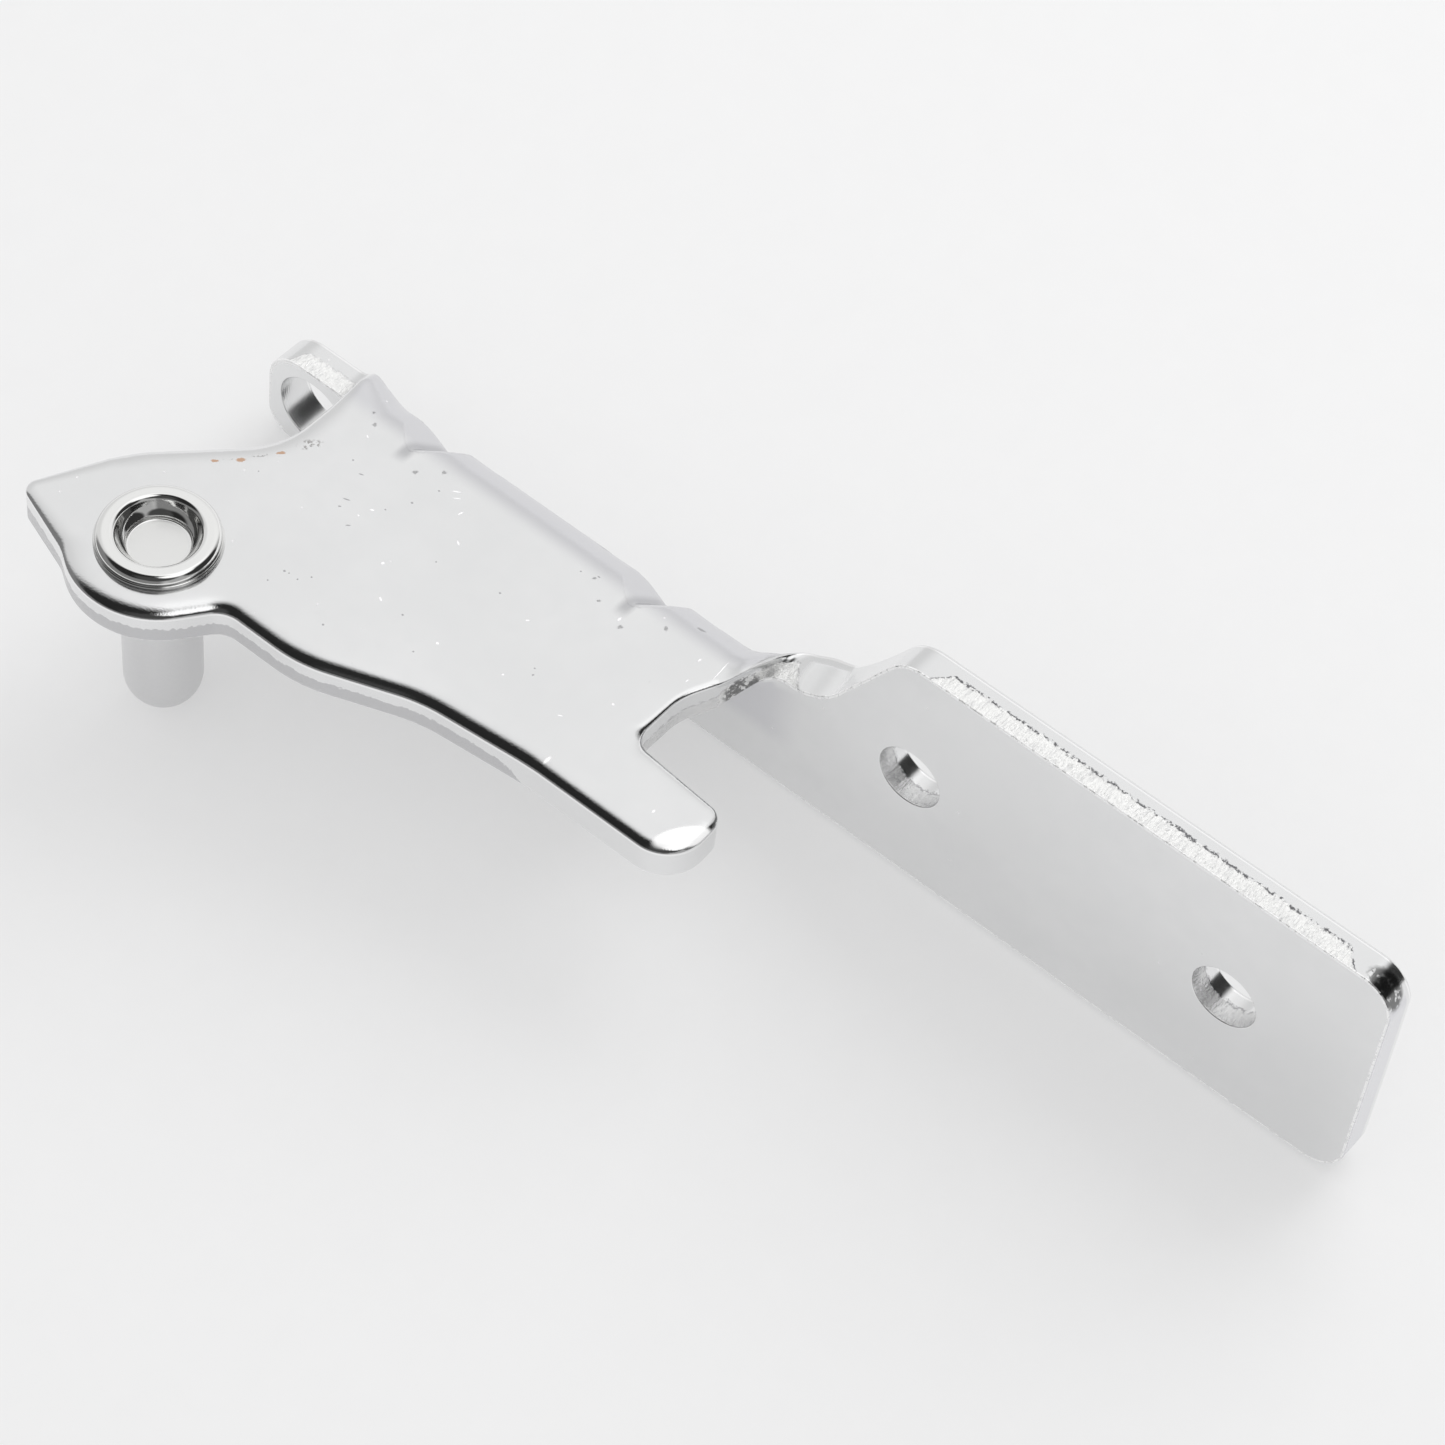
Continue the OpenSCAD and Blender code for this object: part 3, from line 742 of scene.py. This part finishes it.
    # painted highlight on the finger's tip
    tip_highlight = mt.math("MULTIPLY", marks(mt, vec, TIP_HIGHLIGHT, 0.75), mt.ramp(wall, 0.34, 0.42, 1.0, 0.0))
    tone = mt.mixc(tip_highlight, tone, (0.95, 0.95, 0.95, 1))
    mt.link(tone, b.inputs["Base Color"])
    dull = mt.math("MAXIMUM", ticks, mt.math("MULTIPLY", copper, 0.7))
    dull = mt.math("MAXIMUM", dull, mt.math("MULTIPLY", torn_lit, 0.5))
    dull = mt.math("MAXIMUM", dull, mt.math("MULTIPLY", burr_glint, 0.85))
    dull = mt.math("MAXIMUM", dull, mt.math("MULTIPLY", tip_highlight, 0.9))
    # the neck's upper side is worn white where the press has rubbed it
    rubbed = mt.math("MULTIPLY", blob(mt, vec, (59.0, YF + 2.0, 5.2), (3.6, 5.0, 3.6)), on_wall)
    dull = mt.math("MAXIMUM", dull, mt.math("MULTIPLY", rubbed, 0.7))
    mt.link(mt.math("SUBTRACT", 1.0, dull), b.inputs["Metallic"])

    rough = mt.ramp(grain, 0.3, 0.7, 0.15, 0.20)
    rolled = mt.math("MULTIPLY", mt.ramp(wall, 0.0, 0.25), mt.ramp(wall, 0.62, 0.52))
    rough = mt.mix(rolled, rough, 0.07)
    rough = mt.mix(torn, rough, 0.22)
    rough = mt.mix(turned, rough, 0.24)
    rough = mt.mix(bend_dull_and_shade, rough, 0.26)
    mt.link(rough, b.inputs["Roughness"])

    fine = mt.bump(grain, 2.5e-6, 1.0)
    grit = mt.n("ShaderNodeBump")
    mt.link(mt.noise(vec, 5.0, 2, 0.6), grit.inputs["Height"])
    grit.inputs["Distance"].default_value = 1.0e-5
    mt.link(rolled, grit.inputs["Strength"])
    mt.link(fine, grit.inputs["Normal"])
    fine = grit.outputs[0]
    rings = mt.n("ShaderNodeTexWave", wave_type="BANDS", bands_direction="Y")
    mt.link(mt.scaled(vec, (0.02, 1.0, 0.02)), rings.inputs["Vector"])
    rings.inputs["Scale"].default_value = 1.1
    rings.inputs["Distortion"].default_value = 0.8
    rings.inputs["Detail"].default_value = 3.0
    groove = mt.n("ShaderNodeBump")
    mt.link(rings.outputs["Fac"], groove.inputs["Height"])
    groove.inputs["Distance"].default_value = 4.0e-6
    mt.link(turned, groove.inputs["Strength"])
    mt.link(fine, groove.inputs["Normal"])
    crumbs = mt.math("MULTIPLY_ADD", mt.noise(mt.scaled(vec, (1.0, 0.22, 1.0)), 3.6, 3, 0.7), 0.7,
                     mt.math("MULTIPLY", mt.noise(vec, 3.0, 3, 0.7), 0.3))
    tear = mt.n("ShaderNodeBump")
    mt.link(crumbs, tear.inputs["Height"])
    tear.inputs["Distance"].default_value = 2.6e-4
    mt.link(mt.mix(lit_share, mt.math("MULTIPLY", torn, 0.35), torn), tear.inputs["Strength"])
    mt.link(groove.outputs[0], tear.inputs["Normal"])
    mt.link(tear.outputs[0], b.inputs["Normal"])
    return mt.m


def pin_material():
    mt = Mat("plated_turned_steel")
    vec = coords(mt)
    b = mt.b
    b.inputs["Metallic"].default_value = 1.0
    shade = mt.n("ShaderNodeAttribute", attribute_name="wall_depth").outputs["Fac"]
    grain = mt.noise(vec, 2.2, 3, 0.6)
    head = mt.ramp(shade, 0.4, 0.6)
    floor = mt.ramp(shade, 1.4, 1.6)
    rough = mt.mix(head, mt.ramp(grain, 0.3, 0.7, 0.28, 0.34), 0.06)
    rough = mt.mix(floor, rough, 0.34)
    mt.link(rough, b.inputs["Roughness"])
    # painted shade: the shank, under the arm, is painted darker than the head
    tone = mt.mixc(grain, (0.71, 0.71, 0.72, 1), (0.76, 0.76, 0.76, 1))
    tone = mt.mixc(head, tone, (0.88, 0.88, 0.87, 1))
    mt.link(tone, b.inputs["Base Color"])
    mt.link(mt.bump(grain, 2.5e-6), b.inputs["Normal"])
    return mt.m


bracket.data.materials.append(sheet_material())
pin.data.materials.append(pin_material())

# ------------------------------------------------------------------ camera, from the photograph's own perspective
R = np.array([[0.76809, 0.63598, 0.0746], [0.54246, -0.58434, -0.60356], [-0.34027, 0.50406, -0.79382]])
C = np.array([199.21433, -195.71213, 343.65520])
F_PX = 4561.785
cam_data = bpy.data.cameras.new("camera")
cam = bpy.data.objects.new("camera", cam_data)
bpy.context.scene.collection.objects.link(cam)
m = Matrix.Identity(4)
for i in range(3):
    m[i][0], m[i][1], m[i][2], m[i][3] = R[0][i], -R[1][i], -R[2][i], C[i] * MM
cam.matrix_world = m
cam_data.sensor_fit = "HORIZONTAL"
cam_data.sensor_width = 36.0
cam_data.lens = 36.0 * F_PX / 1445.0
cam_data.clip_start = 0.01
bpy.context.scene.camera = cam

# ------------------------------------------------------------------ floor, under the pin's tip and the flange's lower edge
# plane through the round tip and the flange's lower back edge
slope = math.atan2(PIN_L + BOT_Z, YB)
for _ in range(60):
    nz = np.array([0.0, -math.sin(slope), math.cos(slope)])
    d0 = -(PIN_L - PIN_R) * nz[2] - PIN_R
    gap = YB * nz[1] + BOT_Z * nz[2] - d0
    slope += gap / 40.0
size = 3.0
me = bpy.data.meshes.new("floor")
ax = np.array([1.0, 0, 0]); ay = np.cross(nz, ax)
o = nz * (d0 - 0.02) * MM
me.from_pydata([tuple(o + ax * a * size + ay * b * size) for a, b in ((-1, -1), (1, -1), (1, 1), (-1, 1))], [], [(0, 1, 2, 3)])
floor = bpy.data.objects.new("floor", me)
bpy.context.scene.collection.objects.link(floor)
fm = Mat("floor_paper")
fv = coords(fm)
fm.b.inputs["Roughness"].default_value = 0.9
fm.b.inputs["Specular IOR Level"].default_value = 0.1
paper = fm.mixc(fm.noise(fv, 0.25, 5, 0.6), (0.848, 0.848, 0.850, 1), (0.868, 0.868, 0.870, 1))
fm.link(paper, fm.b.inputs["Base Color"])
glow = fm.n("ShaderNodeEmission")
fm.link(paper, glow.inputs["Color"])
path = fm.n("ShaderNodeLightPath")
seen = fm.math("MAXIMUM", fm.math("MAXIMUM", path.outputs["Is Camera Ray"], path.outputs["Is Glossy Ray"]),
               path.outputs["Is Transmission Ray"])
both = fm.n("ShaderNodeMixShader")
fm.link(fm.math("MULTIPLY", seen, 0.50), both.inputs[0])
fm.link(fm.b.outputs[0], both.inputs[1])
fm.link(glow.outputs[0], both.inputs[2])
fm.link(both.outputs[0], fm.out.inputs[0])
floor.data.materials.append(fm.m)

# ------------------------------------------------------------------ light
world = bpy.data.worlds.new("world")
bpy.context.scene.world = world
world.use_nodes = True
wt = world.node_tree
wt.nodes.clear()


def toward(azimuth, elevation):
    """Unit vector: azimuth 0 is the front (-Y), 90 the right (+X)."""
    a, e = math.radians(azimuth), math.radians(elevation)
    return (math.sin(a) * math.cos(e), -math.cos(a) * math.cos(e), math.sin(e))


def wnode(kind, **props):
    nd = wt.nodes.new(kind)
    for k, v in props.items():
        setattr(nd, k, v)
    return nd


direction = wnode("ShaderNodeTexCoord").outputs["Generated"]


def patch(value, azimuth, elevation, outer, inner, level):
    """Blend the surroundings to a level round one direction, from the outer to the inner angle."""
    dot = wnode("ShaderNodeVectorMath", operation="DOT_PRODUCT")
    wt.links.new(direction, dot.inputs[0])
    dot.inputs[1].default_value = toward(azimuth, elevation)
    f = wnode("ShaderNodeMapRange", interpolation_type="SMOOTHSTEP")
    wt.links.new(dot.outputs["Value"], f.inputs[0])
    f.inputs[1].default_value = math.cos(math.radians(outer))
    f.inputs[2].default_value = math.cos(math.radians(inner))
    mx = wnode("ShaderNodeMix", data_type="FLOAT")
    wt.links.new(f.outputs[0], mx.inputs["Factor"])
    if isinstance(value, float):
        mx.inputs[2].default_value = value
    else:
        wt.links.new(value, mx.inputs[2])
    mx.inputs[3].default_value = level
    return mx.outputs[0]


def wmath(op, a, b, c):
    nd = wnode("ShaderNodeMath", operation=op)
    wt.links.new(a, nd.inputs[0])
    nd.inputs[1].default_value = b
    nd.inputs[2].default_value = c
    return nd.outputs[0]


# the studio as the plated steel mirrors it: white behind and above, a darker room in front and right
room = patch(0.74, 178, 62, 54, 14, 0.94)
room = patch(room, 150, 76, 26, 14, 1.14)
room = patch(room, 110, 12, 66, 48, 0.40)
room = patch(room, -15, 5, 72, 58, 0.22)
room = patch(room, -12, 58, 42, 28, 0.02)
room = patch(room, 38, 50, 32, 20, 0.06)
room = patch(room, 122, 32, 34, 25, 0.03)
room = patch(room, 94, 70, 20, 12, 1.20)

glossy = wnode("ShaderNodeLightPath").outputs["Is Glossy Ray"]
pick = wnode("ShaderNodeMix", data_type="FLOAT")
wt.links.new(glossy, pick.inputs["Factor"])
pick.inputs[2].default_value = 0.80
wt.links.new(room, pick.inputs[3])
bg = wnode("ShaderNodeBackground")
bg.inputs["Color"].default_value = (1, 1, 1, 1)
wt.links.new(pick.outputs[0], bg.inputs["Strength"])
wo = wnode("ShaderNodeOutputWorld")
wt.links.new(bg.outputs[0], wo.inputs[0])


def area(name, loc, target, size, energy):
    l = bpy.data.lights.new(name, "AREA")
    l.size = size
    l.energy = energy
    ob = bpy.data.objects.new(name, l)
    bpy.context.scene.collection.objects.link(ob)
    ob.location = loc
    ob.rotation_euler = (Vector(target) - Vector(loc)).to_track_quat("-Z", "Y").to_euler()
    ob.visible_glossy = False
    return ob


area("soft_box", (0.10, 0.42, 0.60), (0.05, 0.01, 0.0), 0.5, 2.6)

bpy.context.scene.view_settings.view_transform = "Standard"
